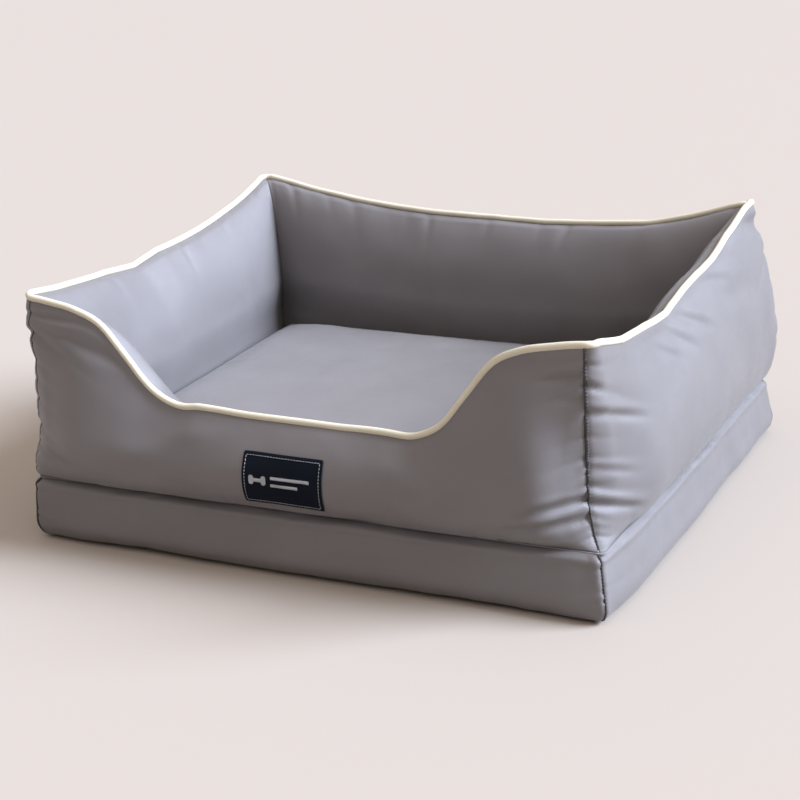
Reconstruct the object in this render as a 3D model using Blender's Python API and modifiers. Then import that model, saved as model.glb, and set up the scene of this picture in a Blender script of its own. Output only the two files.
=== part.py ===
"""A rectangular pet bed: a sewn fabric cover with four stuffed walls, a foam base and a loose seat cushion.

The front wall dips in the middle to let the animal in. A cream piping runs round the whole rim. The cover opens
with a zip along the back of the base, and the cushion has its own zip along its back edge.
Metres, +Z up, +X along the front, the front faces -Y. The origin is the middle of the underside.
"""
import math

import bmesh
import bpy
from mathutils import Matrix, Vector

# Driving dimensions of the cover.
WIDTH = 0.560
DEPTH = 0.453
BASE_HEIGHT = 0.056
FRONT_CORNER_RIM = 0.232  # height of the piping's centre at the two front corners
BACK_CORNER_RIM = 0.238
SIDE_RIM = 0.208  # the same where a full wall sags most, half-way along
ENTRY_RIM = 0.139  # the same across the front entry
ENTRY_SHOULDER_RIM = 0.223
ENTRY_CENTRE_X = -0.0045
ENTRY_HALF_FLOOR = 0.1165
ENTRY_HALF_SHOULDER = 0.2125
WALL_FOOT = 0.050  # thickness of a wall where it stands on the deck
WALL_BULGE = 0.024  # how far a stuffed wall swells out from the straight line between its seams
BASE_BULGE = 0.006
RIM_INSET = 0.009
CORNER_REACH = 0.96  # share of a side's half length at which its rim is as high as the corner
PIPING_DIAMETER = 0.0062

# Cloth, and the gaps that keep neighbours apart.
CLOTH = 0.0015
SEAM_GAP = 0.0003
FILLING_GAP = 0.0016
MITRE = 0.9985  # a panel stops just short of the corner seam it is sewn into
UNDER_INSET = 0.003
DECK_INSET = 0.002
SLAB_INSET = 0.009

# Levels, from the floor up.
BAND_FOOT = CLOTH + SEAM_GAP
DECK_FLOOR = BASE_HEIGHT + SEAM_GAP
WALL_BASE = DECK_FLOOR + CLOTH + SEAM_GAP

# The loose cushion.
CUSHION_PLAY = 0.003
CUSHION_FLOOR = WALL_BASE
CUSHION_EDGE = 0.086
CUSHION_CROWN = 0.015
CUSHION_X = WIDTH / 2 - WALL_FOOT - CUSHION_PLAY
CUSHION_Y = DEPTH / 2 - WALL_FOOT - CUSHION_PLAY

# Coil zips.
ZIP_HALF_LENGTH = 0.200
ZIP_HALF_OPENING = 0.0055
ZIP_LEVEL = 0.030
CUSHION_ZIP_RECESS = 0.007
TAPE = 0.0007
TAPE_GAP = 0.0004
COIL_THICK = 0.0019
COIL_HALF = 0.0033
SLIDER_LENGTH = 0.011
SLIDER_WALL = 0.0010
SLIDER_REST = 0.188
STOP_LENGTH = 0.003
BRIDGE_HALF_SPAN = 0.0018
BRIDGE_RISE = 0.0024
BRIDGE_BAR = 0.0012
BRIDGE_WIDTH = 0.0026
PULLER_THICK = 0.0014
PULLER_HALF_WIDTH = 0.0033
PULLER_EYE = 0.0060
PULLER_LENGTH = 0.026

# The label on the front wall.
LABEL_CENTRE_X = -0.0055
LABEL_HALF_WIDTH = 0.039
LABEL_LOW = 0.069
LABEL_HIGH = 0.115
LABEL_THICK = 0.0008
LABEL_GAP = 0.0009

# Each wall's side of the plan: the direction that its outside faces.
WALLS = {"front": (0, -1), "right": (1, 0), "back": (0, 1), "left": (-1, 0)}
WALL_COLUMNS = {"front": 40, "right": 12, "back": 14, "left": 12}
WALL_ROWS = 6

COLOURS = {
    "taupe_fabric": ((0.30, 0.28, 0.29), 0.55, 0.0),
    "underside_fabric": ((0.03, 0.03, 0.035), 0.85, 0.0),
    "lining_fabric": ((0.45, 0.44, 0.43), 0.80, 0.0),
    "cream_piping": ((0.80, 0.74, 0.58), 0.60, 0.0),
    "fibre_filling": ((0.85, 0.85, 0.83), 0.95, 0.0),
    "base_foam": ((0.75, 0.70, 0.52), 0.95, 0.0),
    "navy_label": ((0.005, 0.010, 0.025), 0.65, 0.0),
    "zip_tape": ((0.18, 0.17, 0.18), 0.80, 0.0),
    "zip_coil": ((0.12, 0.11, 0.12), 0.45, 0.0),
    "zip_metal": ((0.25, 0.24, 0.24), 0.35, 0.9),
}


def smooth_step(low, high, value):
    """0 below low, 1 above high, and an S-curve between."""
    share = min(max((value - low) / (high - low), 0.0), 1.0)
    return share * share * (3 - 2 * share)


# --- The scene -------------------------------------------------------------------------------------------------


def clear_scene():
    for old in list(bpy.data.objects):
        bpy.data.objects.remove(old, do_unlink=True)


def new_collection(name):
    collection = bpy.data.collections.new(name)
    bpy.context.scene.collection.children.link(collection)
    return collection


def make_material(name):
    colour, roughness, metallic = COLOURS[name]
    material = bpy.data.materials.new(name)
    material.use_nodes = True
    shader = material.node_tree.nodes["Principled BSDF"]
    shader.inputs["Base Color"].default_value = (*colour, 1.0)
    shader.inputs["Roughness"].default_value = roughness
    shader.inputs["Metallic"].default_value = metallic
    material.diffuse_color = (*colour, 1.0)
    return material


def add_object(name, mesh, material):
    mesh.materials.clear()
    mesh.materials.append(MATERIALS[material])
    mesh.shade_smooth()
    mesh.set_sharp_from_angle(angle=math.radians(40))
    made = bpy.data.objects.new(name, mesh)
    BED.objects.link(made)
    return made


def face_outwards(shape):
    bmesh.ops.recalc_face_normals(shape, faces=shape.faces)
    if shape.calc_volume(signed=True) < 0:
        bmesh.ops.reverse_faces(shape, faces=shape.faces)


def sheet(name, columns, rows, place, material):
    """A closed sheet: a grid extruded once, with each point put at place(across, up, layer).

    across runs from -1 to 1, up from 0 to 1, and layer is 0 on one face of the sheet and 1 on the other.
    """
    shape = bmesh.new()
    bmesh.ops.create_grid(shape, x_segments=columns, y_segments=rows, size=1)
    raised = bmesh.ops.extrude_face_region(shape, geom=shape.faces[:])["geom"]
    raised_points = [item for item in raised if isinstance(item, bmesh.types.BMVert)]
    bmesh.ops.translate(shape, verts=raised_points, vec=(0, 0, 1))
    for point in shape.verts:
        point.co = place(point.co.x, (point.co.y + 1) / 2, round(point.co.z))
    face_outwards(shape)
    mesh = bpy.data.meshes.new(name)
    shape.to_mesh(mesh)
    shape.free()
    return add_object(name, mesh, material)


def box(name, low, high, material, bevel=0.0):
    """A box between two corners, its upright or long edges rounded if a bevel is given."""
    low, high = Vector(low), Vector(high)
    shape = bmesh.new()
    bmesh.ops.create_cube(shape, size=1)
    bmesh.ops.scale(shape, vec=high - low, verts=shape.verts)
    bmesh.ops.translate(shape, vec=(low + high) / 2, verts=shape.verts)
    mesh = bpy.data.meshes.new(name)
    shape.to_mesh(mesh)
    shape.free()
    made = add_object(name, mesh, material)
    if bevel:
        rounding = made.modifiers.new("rounded_edges", "BEVEL")
        rounding.width = bevel
        rounding.segments = 2
    return made


# --- The shape of a wall ---------------------------------------------------------------------------------------


def side_point(side, across, inset, height):
    """A point on one side of the plan: across from -1 to 1 between the corners, inset from the base's outline."""
    out_x, out_y = WALLS[side]
    half_x, half_y = WIDTH / 2 - inset, DEPTH / 2 - inset
    if out_x:
        return Vector((out_x * half_x, out_x * across * MITRE * half_y, height))
    return Vector((-out_y * across * MITRE * half_x, out_y * half_y, height))


def corner_height(side, across):
    """Height of the piping's centre at the corner that this end of a side runs to."""
    at_back = side == "back" or across * WALLS[side][0] > 0
    return BACK_CORNER_RIM if at_back else FRONT_CORNER_RIM


def rim_height(side, across):
    """Height of the piping's centre. The rim sags between its corners, and the front one has the entry."""
    reach = min(abs(across) / CORNER_REACH, 1)
    corner = corner_height(side, across)
    if side != "front":
        return SIDE_RIM + (corner - SIDE_RIM) * reach**2
    x = abs(across * (WIDTH / 2 - RIM_INSET) - ENTRY_CENTRE_X)
    entry = ENTRY_RIM + (ENTRY_SHOULDER_RIM - ENTRY_RIM) * smooth_step(
        ENTRY_HALF_FLOOR, ENTRY_HALF_SHOULDER, x
    )
    return entry + (corner - ENTRY_SHOULDER_RIM) * smooth_step(ENTRY_HALF_SHOULDER, WIDTH / 2 * 0.95, x)


def wall_top(side, across):
    """The panels end just under the piping that they are sewn to, measured square to the rim's slope."""
    step = 1 / WALL_COLUMNS[side]
    rise = rim_height(side, across + step) - rim_height(side, across - step)
    run = 2 * step * (DEPTH if WALLS[side][0] else WIDTH) / 2
    return rim_height(side, across) - (PIPING_DIAMETER / 2 + 2 * SEAM_GAP) * math.hypot(1, rise / run)


def end_fade(across):
    """1 along the middle of a side, falling to 0 at its corner seams."""
    return 1 - smooth_step(0.75, 1.0, abs(across))


def outer_inset(side, across, up):
    """How far in from the base's outline a wall's outer face lies, from its foot (up 0) to its rim (up 1)."""
    fullness = (wall_top(side, across) - WALL_BASE) / (FRONT_CORNER_RIM - WALL_BASE)
    swell = WALL_BULGE * fullness * (1 - abs(across) ** 4) * math.sin(math.pi * up**0.8)
    return (RIM_INSET - CLOTH - SEAM_GAP / 2) * up - swell


def inner_inset(up):
    """The same for a wall's inner face."""
    slim = RIM_INSET + CLOTH + SEAM_GAP / 2
    return slim + (WALL_FOOT - slim) * (1 - up**1.8) ** 0.8


def wall_level(side, across, up):
    return WALL_BASE + (wall_top(side, across) - WALL_BASE) * up


def crowded_up(row):
    """Rows crowd towards the rim, where a wall narrows fastest."""
    return 1 - (1 - row) ** 1.5


def add_wall(side):
    """A wall: its outer panel, its inner panel and the filling between them."""

    def outer_place(across, row, layer):
        up = crowded_up(row)
        inset = outer_inset(side, across, up) + CLOTH * layer
        return side_point(side, across, inset, wall_level(side, across, up))

    def inner_place(across, row, layer):
        up = crowded_up(row)
        return side_point(side, across, inner_inset(up) - CLOTH * layer, wall_level(side, across, up))

    def filling_place(across, row, layer):
        up = crowded_up(row * (WALL_ROWS - 1) / WALL_ROWS)
        skin = CLOTH + FILLING_GAP
        inset = inner_inset(up) - skin if layer else outer_inset(side, across, up) + skin
        across = max(-0.985, min(0.985, across))
        return side_point(side, across, inset, wall_level(side, across, up) + FILLING_GAP * (1 - row))

    columns = WALL_COLUMNS[side]
    sheet(side + "_outer_panel", columns, WALL_ROWS, outer_place, "taupe_fabric")
    sheet(side + "_inner_panel", columns, WALL_ROWS, inner_place, "taupe_fabric")
    sheet(side + "_wall_filling", columns, WALL_ROWS - 1, filling_place, "fibre_filling")


def add_piping():
    """One loop of covered cord round the rim, its corners turned on a small radius."""
    turn = 0.010
    half_x, half_y = WIDTH / 2 - RIM_INSET, DEPTH / 2 - RIM_INSET
    points = []
    for side, (out_x, out_y) in WALLS.items():
        half, away = (half_y, half_x) if out_x else (half_x, half_y)
        out, along = Vector((out_x, out_y, 0)), Vector((-out_y, out_x, 0))
        straight = half - turn
        columns = WALL_COLUMNS[side]
        for column in range(columns + 1):
            across = 2 * column / columns - 1
            place = max(-straight, min(straight, across * MITRE * half))
            points.append(out * away + along * place + Vector((0, 0, rim_height(side, across))))
        centre = out * (away - turn) + along * straight + Vector((0, 0, corner_height(side, 1)))
        for quarter in (0.25, 0.5, 0.75):
            angle = quarter * math.pi / 2
            points.append(centre + (out * math.cos(angle) + along * math.sin(angle)) * turn)
    outline = bpy.data.curves.new("piping", "CURVE")
    outline.dimensions = "3D"
    outline.bevel_depth = PIPING_DIAMETER / 2
    outline.bevel_resolution = 2
    spline = outline.splines.new("POLY")
    spline.points.add(len(points) - 1)
    for knot, place in zip(spline.points, points):
        knot.co = (*place, 1)
    spline.use_cyclic_u = True
    outline.materials.append(MATERIALS["cream_piping"])
    BED.objects.link(bpy.data.objects.new("piping", outline))


def add_label():
    """A woven patch that follows the front wall's swell."""
    half = WIDTH / 2

    def place(across, row, layer):
        x = LABEL_CENTRE_X + LABEL_HALF_WIDTH * across
        height = LABEL_LOW + (LABEL_HIGH - LABEL_LOW) * row
        along = x / half
        up = (height - WALL_BASE) / (wall_top("front", along) - WALL_BASE)
        inset = outer_inset("front", along, up) - LABEL_GAP - LABEL_THICK * layer
        return Vector((x, -(DEPTH / 2 - inset), height))

    sheet("label_patch", 6, 4, place, "navy_label")


# --- The base --------------------------------------------------------------------------------------------------


def band_inset(across, height):
    """How far in from the base's outline the base's fabric band lies."""
    up = (height - BAND_FOOT) / (BASE_HEIGHT - BAND_FOOT)
    return UNDER_INSET * (1 - up) ** 2 - BASE_BULGE * end_fade(across) * math.sin(math.pi * up)


def add_band(name, side, low, high, columns, rows):
    """A strip of the base's band between two edges, each a height or a function of how far across it is."""

    def edge(limit, across):
        return limit(across) if callable(limit) else limit

    def place(across, row, layer):
        bottom, top = edge(low, across), edge(high, across)
        height = bottom + (top - bottom) * row
        return side_point(side, across, band_inset(across, height) + CLOTH * layer, height)

    sheet(name, columns, rows, place, "taupe_fabric")


def add_tape(name, low, high):
    """A zip tape sewn behind the back band's strips."""

    def place(across, row, layer):
        across *= 0.75
        height = low + (high - low) * row
        inset = band_inset(across, height) + CLOTH + TAPE_GAP + TAPE * layer
        return side_point("back", across, inset, height)

    sheet(name, 12, 3, place, "zip_tape")


def add_base():
    """The underside, the bands round it, the foam slab and the deck that the walls and the cushion stand on."""
    for side in ("front", "right", "left"):
        columns = WALL_COLUMNS[side] // 2 + 6
        add_band("base_" + side + "_band", side, BAND_FOOT, BASE_HEIGHT, columns, 4)

    def opening(sign):
        """The two back strips part for the zip and are sewn together past its ends."""
        return lambda across: ZIP_LEVEL + sign * (ZIP_HALF_OPENING if abs(across) < 0.76 else SEAM_GAP / 2)

    add_band("base_back_upper_strip", "back", opening(1), BASE_HEIGHT, 24, 3)
    add_band("base_back_lower_strip", "back", BAND_FOOT, opening(-1), 24, 3)
    add_tape("cover_zip_tape_upper", ZIP_LEVEL + SEAM_GAP, ZIP_LEVEL + 0.0135)
    add_tape("cover_zip_tape_lower", ZIP_LEVEL - 0.0135, ZIP_LEVEL - SEAM_GAP)

    half_x, half_y = WIDTH / 2, DEPTH / 2
    rounding = 0.006
    under_x, under_y = half_x - UNDER_INSET, half_y - UNDER_INSET
    under = rounded_plate("underside_panel", under_x, under_y, rounding, 0, CLOTH)
    finish_plate(under, "underside_fabric")
    deck = rounded_plate(
        "deck_panel", half_x - DECK_INSET, half_y - DECK_INSET, rounding, DECK_FLOOR, DECK_FLOOR + CLOTH
    )
    finish_plate(deck, "lining_fabric")
    slab_x, slab_y = half_x - SLAB_INSET, half_y - SLAB_INSET
    box(
        "base_foam_slab",
        (-slab_x, -slab_y, CLOTH + 2 * SEAM_GAP),
        (slab_x, slab_y, BASE_HEIGHT - 2 * SEAM_GAP),
        "base_foam",
        bevel=0.004,
    )


def closed_outline(name, splines, half_thick):
    """A flat outline with straight edges, thickened both ways, as a mesh with its caps joined."""
    outline = bpy.data.curves.new(name, "CURVE")
    outline.dimensions = "2D"
    outline.fill_mode = "BOTH"
    outline.extrude = half_thick
    for points in splines:
        spline = outline.splines.new("POLY")
        spline.points.add(len(points) - 1)
        for knot, (x, y) in zip(spline.points, points):
            knot.co = (x, y, 0, 1)
        spline.use_cyclic_u = True
    drawn = bpy.data.objects.new(name + "_outline", outline)
    BED.objects.link(drawn)
    graph = bpy.context.evaluated_depsgraph_get()
    mesh = bpy.data.meshes.new_from_object(drawn.evaluated_get(graph))
    bpy.data.objects.remove(drawn, do_unlink=True)
    bpy.data.curves.remove(outline)
    shape = bmesh.new()
    shape.from_mesh(mesh)
    bmesh.ops.remove_doubles(shape, verts=shape.verts, dist=1e-6)
    face_outwards(shape)
    shape.to_mesh(mesh)
    shape.free()
    mesh.name = name
    return mesh


def rounded_plate(name, half_x, half_y, radius, low, high):
    """A flat plate between two levels with rounded corners."""
    points = []
    for corner, (sign_x, sign_y) in enumerate(((1, 1), (-1, 1), (-1, -1), (1, -1))):
        for step in range(4):
            angle = math.pi / 2 * (corner + step / 3)
            x = sign_x * (half_x - radius) + radius * math.cos(angle)
            y = sign_y * (half_y - radius) + radius * math.sin(angle)
            points.append((x, y))
    mesh = closed_outline(name, [points], (high - low) / 2)
    mesh.transform(Matrix.Translation((0, 0, (low + high) / 2)))
    return mesh


def finish_plate(mesh, material):
    return add_object(mesh.name, mesh, material)


# --- Zips ------------------------------------------------------------------------------------------------------


def joined(name, meshes, material):
    """Overlapping meshes made one solid with Boolean unions."""
    first, *others = [bpy.data.objects.new(f"{name}_{n}", mesh) for n, mesh in enumerate(meshes)]
    BED.objects.link(first)
    for other in others:
        HELPERS.objects.link(other)
        union = first.modifiers.new("join", "BOOLEAN")
        union.operation = "UNION"
        union.object = other
    graph = bpy.context.evaluated_depsgraph_get()
    whole = bpy.data.meshes.new_from_object(first.evaluated_get(graph))
    for used in (first, *others):
        bpy.data.objects.remove(used, do_unlink=True)
    whole.name = name
    return add_object(name, whole, material)


def slider_meshes(with_bridge):
    """A zip slider round its own middle: x along the zip, y across it, z out from the tape.

    A channel section rides over the coil, and an arch on top holds the puller.
    """
    inside, outside = COIL_HALF + SEAM_GAP, COIL_HALF + SEAM_GAP + SLIDER_WALL
    under, top = COIL_THICK + 2 * SEAM_GAP, COIL_THICK + 2 * SEAM_GAP + SLIDER_WALL
    foot = SEAM_GAP
    channel = [
        (-outside, foot),
        (-inside, foot),
        (-inside, under),
        (inside, under),
        (inside, foot),
        (outside, foot),
        (outside, top),
        (-outside, top),
    ]
    # The outline is drawn across and out, then turned to run along the zip.
    along_zip = Matrix(((0, 0, 1, 0), (1, 0, 0, 0), (0, 1, 0, 0), (0, 0, 0, 1)))
    body = closed_outline("slider_channel", [channel], SLIDER_LENGTH / 2)
    body.transform(along_zip)
    if not with_bridge:
        tab = [(-0.0020, top - 0.0003), (0.0020, top - 0.0003), (0.0012, top + 0.0012), (-0.0012, top + 0.0012)]
        lug = closed_outline("slider_lug", [tab], 0.0015)
        lug.transform(Matrix.Rotation(math.pi / 2, 4, "X"))
        return [body, lug]
    span, rise = BRIDGE_HALF_SPAN, top + BRIDGE_RISE
    arch = [
        (-span - BRIDGE_BAR, top - 0.0003),
        (-span, top - 0.0003),
        (-span, rise),
        (span, rise),
        (span, top - 0.0003),
        (span + BRIDGE_BAR, top - 0.0003),
        (span + BRIDGE_BAR, rise + 0.0004),
        (span, rise + BRIDGE_BAR),
        (-span, rise + BRIDGE_BAR),
        (-span - BRIDGE_BAR, rise + 0.0004),
    ]
    bridge = closed_outline("slider_bridge", [arch], BRIDGE_WIDTH / 2)
    bridge.transform(Matrix.Rotation(math.pi / 2, 4, "X"))
    return [body, bridge]


def out_of_back(x, y, z):
    """From a zip's own axes to the world, for a zip on a face that looks along +Y, its middle at x, y, z."""
    return Matrix(((1, 0, 0, x), (0, 0, 1, y), (0, 1, 0, z), (0, 0, 0, 1)))


def puller_axis_out():
    """How far out from the tape the puller's crossbar turns."""
    return COIL_THICK + 2 * SEAM_GAP + SLIDER_WALL + BRIDGE_RISE / 2


def add_puller(name, place):
    """A flat pull with an eye. Its origin is on the crossbar, in the slider's arch."""
    half, bar = PULLER_HALF_WIDTH, PULLER_THICK / 2
    eye_half = BRIDGE_WIDTH / 2 + 0.0005
    waist, end = 0.0026, -PULLER_LENGTH
    outline = [
        (bar, -half + 0.0006),
        (bar, half - 0.0006),
        (-bar, half),
        (-PULLER_EYE, half),
        (-PULLER_EYE - 0.003, waist),
        (end + 0.004, waist + 0.0012),
        (end, waist),
        (end, -waist),
        (end + 0.004, -waist - 0.0012),
        (-PULLER_EYE - 0.003, -waist),
        (-PULLER_EYE, -half),
        (-bar, -half),
    ]
    eye = [(-bar, -eye_half), (-bar, eye_half), (-PULLER_EYE, eye_half), (-PULLER_EYE, -eye_half)]
    mesh = closed_outline(name, [outline, eye], PULLER_THICK / 2)
    # Its own x stays along the zip, its thickness is turned to lie out of the tape.
    turned = Matrix(((1, 0, 0, 0), (0, 0, 1, 0), (0, 1, 0, 0), (0, 0, 0, 1)))
    mesh.transform(turned)
    mesh.flip_normals()
    made = add_object(name, mesh, "zip_metal")
    made.location = place
    return made


def add_zip(prefix, tape_y, level, with_puller):
    """The coil, its stops, the slider and the puller of a zip on a face that looks along +Y."""
    rest = out_of_back(0, tape_y, level)
    coil_low, coil_high = SEAM_GAP, SEAM_GAP + COIL_THICK
    for half_name, sign in (("upper", 1), ("lower", -1)):
        inner, outer = sign * SEAM_GAP / 2, sign * COIL_HALF
        low = rest @ Vector((-ZIP_HALF_LENGTH, min(inner, outer), coil_low))
        high = rest @ Vector((ZIP_HALF_LENGTH, max(inner, outer), coil_high))
        box(f"{prefix}_coil_{half_name}", low, high, "zip_coil")
    for stop_name, sign in (("top", 1), ("bottom", -1)):
        near = sign * (ZIP_HALF_LENGTH + SEAM_GAP)
        far = near + sign * STOP_LENGTH
        low = rest @ Vector((min(near, far), -COIL_HALF, coil_low))
        high = rest @ Vector((max(near, far), COIL_HALF, coil_high + 0.0004))
        box(f"{prefix}_{stop_name}_stop", low, high, "zip_metal")
    slider = joined(f"{prefix}_slider", slider_meshes(with_puller), "zip_metal")
    slider.data.transform(out_of_back(0, 0, 0))
    slider.data.flip_normals()
    slider.location = (SLIDER_REST, tape_y, level)
    if with_puller:
        add_puller(f"{prefix}_puller", (SLIDER_REST, tape_y + puller_axis_out(), level))


# --- The loose cushion -----------------------------------------------------------------------------------------


def cushion_top(across, back):
    """The crowned top, highest in the middle and level with the boxing round the edge."""
    dome = (1 - abs(across) ** 2.6) * (1 - abs(back) ** 2.6)
    return CUSHION_EDGE + CUSHION_CROWN * max(dome, 0.0) ** 0.6


def add_cushion():
    """Top and bottom panels, the boxing strip round three sides, the zip strips at the back, and the filling."""
    x, y = CUSHION_X, CUSHION_Y
    low, high = CUSHION_FLOOR + CLOTH + SEAM_GAP, CUSHION_EDGE - SEAM_GAP

    def top_place(across, row, layer):
        back = 2 * row - 1
        return Vector((across * x, back * y, cushion_top(across, back) + CLOTH * layer))

    def bottom_place(across, row, layer):
        return Vector((across * x, (2 * row - 1) * y, CUSHION_FLOOR + CLOTH * layer))

    def filling_place(across, row, layer):
        back = 2 * row - 1
        inset = 2 * CLOTH + 0.001
        level = cushion_top(across, back) - FILLING_GAP if layer else low + SEAM_GAP
        depth = y - inset - (CUSHION_ZIP_RECESS + 0.003 if back > 0 else 0) * abs(back)
        return Vector((across * (x - inset), back * depth, level))

    sheet("cushion_top_panel", 12, 10, top_place, "taupe_fabric")
    sheet("cushion_bottom_panel", 2, 2, bottom_place, "lining_fabric")
    sheet("cushion_filling", 12, 10, filling_place, "fibre_filling")

    # The boxing runs from the back left corner along the left, front and right sides, mitred at the corners.
    route = [(-1, MITRE), (-1, -1), (1, -1), (1, MITRE)]

    def boxing_place(across, row, layer):
        corner_x, corner_y = route[round((across + 1) * 1.5)]
        return Vector((corner_x * (x - CLOTH * layer), corner_y * (y - CLOTH * layer) - 0.002 * (corner_y > 0),
                       low + (high - low) * row))

    sheet("cushion_boxing", 3, 2, boxing_place, "taupe_fabric")

    middle = (low + high) / 2

    def strip(sign):
        """A zip strip leans in from the seam to the zip, so that the slider is sunk below the cushion's edge."""

        def place(across, row, layer):
            seam, edge = (high, middle + ZIP_HALF_OPENING) if sign > 0 else (low, middle - ZIP_HALF_OPENING)
            recess = CUSHION_ZIP_RECESS * row
            inset = 2 * CLOTH if abs(across) > 0.9 else 0
            return Vector((across * (x - inset), y - recess - CLOTH * layer, seam + (edge - seam) * row))

        return place

    sheet("cushion_zip_strip_upper", 2, 2, strip(1), "taupe_fabric")
    sheet("cushion_zip_strip_lower", 2, 2, strip(-1), "taupe_fabric")
    tape_y = y - CUSHION_ZIP_RECESS - CLOTH - TAPE_GAP
    tape_half = ZIP_HALF_LENGTH + 0.010
    for name, bottom, top in (
        ("cushion_zip_tape_upper", middle + SEAM_GAP, middle + 0.0085),
        ("cushion_zip_tape_lower", middle - 0.0085, middle - SEAM_GAP),
    ):
        box(name, (-tape_half, tape_y - TAPE, bottom), (tape_half, tape_y, top), "zip_tape")
    add_zip("cushion_zip", tape_y, middle, with_puller=False)


clear_scene()
BED = new_collection("pet_cushion_bed")
HELPERS = new_collection("helpers")
MATERIALS = {name: make_material(name) for name in COLOURS}
for wall in WALLS:
    add_wall(wall)
add_piping()
add_label()
add_base()
add_zip(
    "cover_zip",
    DEPTH / 2 - band_inset(0, ZIP_LEVEL) - CLOTH - TAPE_GAP,
    ZIP_LEVEL,
    with_puller=True,
)
add_cushion()
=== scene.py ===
import math

import bmesh
import bpy
import numpy as np
from mathutils import Matrix, Vector, bvhtree, noise


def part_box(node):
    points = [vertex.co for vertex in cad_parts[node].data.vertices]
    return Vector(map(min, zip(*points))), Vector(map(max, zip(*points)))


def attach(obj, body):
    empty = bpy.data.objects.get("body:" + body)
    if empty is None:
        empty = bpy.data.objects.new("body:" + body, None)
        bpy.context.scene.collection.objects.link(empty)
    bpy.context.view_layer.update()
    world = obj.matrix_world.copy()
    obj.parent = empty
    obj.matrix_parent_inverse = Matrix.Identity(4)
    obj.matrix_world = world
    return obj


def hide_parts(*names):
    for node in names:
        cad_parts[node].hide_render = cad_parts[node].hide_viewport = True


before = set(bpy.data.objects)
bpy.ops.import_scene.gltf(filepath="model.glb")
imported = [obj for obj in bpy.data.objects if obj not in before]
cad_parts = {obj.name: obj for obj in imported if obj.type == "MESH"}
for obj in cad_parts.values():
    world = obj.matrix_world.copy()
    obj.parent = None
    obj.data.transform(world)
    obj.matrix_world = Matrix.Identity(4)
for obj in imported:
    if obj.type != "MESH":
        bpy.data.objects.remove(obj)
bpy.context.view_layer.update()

scene = bpy.context.scene


# --- The studio ---------------------------------------------------------------------------------------------
# A pale floor under a warm sky, and a broad cool light from the bed's right and a little behind, like a tall
# window. The camera stands off the front right corner, above the rim.

camera_data = bpy.data.cameras.new("camera")
camera_data.sensor_width = 36
camera_data.lens = 87.7
camera = bpy.data.objects.new("camera", camera_data)
camera.location = (0.788, -1.568, 0.709)
turn, tilt, roll = math.radians(27.03), math.radians(19.61), math.radians(-3.49)
away = Vector((math.sin(turn) * math.cos(tilt), -math.cos(turn) * math.cos(tilt), math.sin(tilt)))
level = away.to_track_quat("Z", "Y").to_matrix()
camera.rotation_euler = (level @ Matrix.Rotation(roll, 3, "Z")).to_euler()
scene.collection.objects.link(camera)
scene.camera = camera

floor_mesh = bpy.data.meshes.new("floor")
shape = bmesh.new()
bmesh.ops.create_grid(shape, x_segments=1, y_segments=1, size=30)
shape.to_mesh(floor_mesh)
shape.free()
floor = bpy.data.objects.new("floor", floor_mesh)
floor.location.z = -0.0004
scene.collection.objects.link(floor)
floor_paint = bpy.data.materials.new("floor_paint")
floor_paint.use_nodes = True
floor_shader = floor_paint.node_tree.nodes["Principled BSDF"]
floor_shader.inputs["Base Color"].default_value = (0.385, 0.335, 0.285, 1)
floor_shader.inputs["Roughness"].default_value = 0.9
floor_shader.inputs["Specular IOR Level"].default_value = 0.1
floor_mesh.materials.append(floor_paint)

world = bpy.data.worlds.new("studio")
world.use_nodes = True
sky_tree = world.node_tree
sky_place = sky_tree.nodes.new("ShaderNodeTexCoord")
sky_split = sky_tree.nodes.new("ShaderNodeSeparateXYZ")
sky_height = sky_tree.nodes.new("ShaderNodeMapRange")
sky_height.inputs["From Min"].default_value = 0.15
sky_height.inputs["To Min"].default_value, sky_height.inputs["To Max"].default_value = 0.13, 1.4
sky_tree.links.new(sky_place.outputs["Generated"], sky_split.inputs["Vector"])
sky_tree.links.new(sky_split.outputs["Z"], sky_height.inputs["Value"])
sky_tree.links.new(sky_height.outputs["Result"], sky_tree.nodes["Background"].inputs["Strength"])
sky_tree.nodes["Background"].inputs["Color"].default_value = (1.0, 0.92, 0.90, 1)
scene.world = world
scene.view_settings.view_transform = "Standard"

window = bpy.data.lights.new("window_light", "SUN")
window.energy = 10.0
window.angle = math.radians(34)
window.color = (0.70, 0.80, 1.0)
window_lamp = bpy.data.objects.new("window_light", window)
window_lamp.rotation_euler = Vector((0.78, 0.28, 0.56)).to_track_quat("Z", "Y").to_euler()
scene.collection.objects.link(window_lamp)


# --- The cover's cloth --------------------------------------------------------------------------------------
# A tight polyester weave with a satin face, grey with a little mauve. It is woven in the panel's own length
# and width, so the weave follows each panel's cut.

CLOTH_THICK = 0.0012


def start_material(name, colour, roughness, metallic=0.0):
    """A material with its shader's plain values, and its node tree and shader."""
    material = bpy.data.materials.new(name)
    material.use_nodes = True
    tree = material.node_tree
    shader = tree.nodes["Principled BSDF"]
    shader.inputs["Base Color"].default_value = (*colour, 1)
    shader.inputs["Roughness"].default_value = roughness
    shader.inputs["Metallic"].default_value = metallic
    return material, tree, shader


def add_node(tree, kind, **settings):
    """A node with its settings, where an input's value is given as in_ and the input's name."""
    node = tree.nodes.new(kind)
    for key, value in settings.items():
        if key.startswith("in_"):
            node.inputs[key[3:].replace("_", " ")].default_value = value
        else:
            setattr(node, key, value)
    return node


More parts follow.
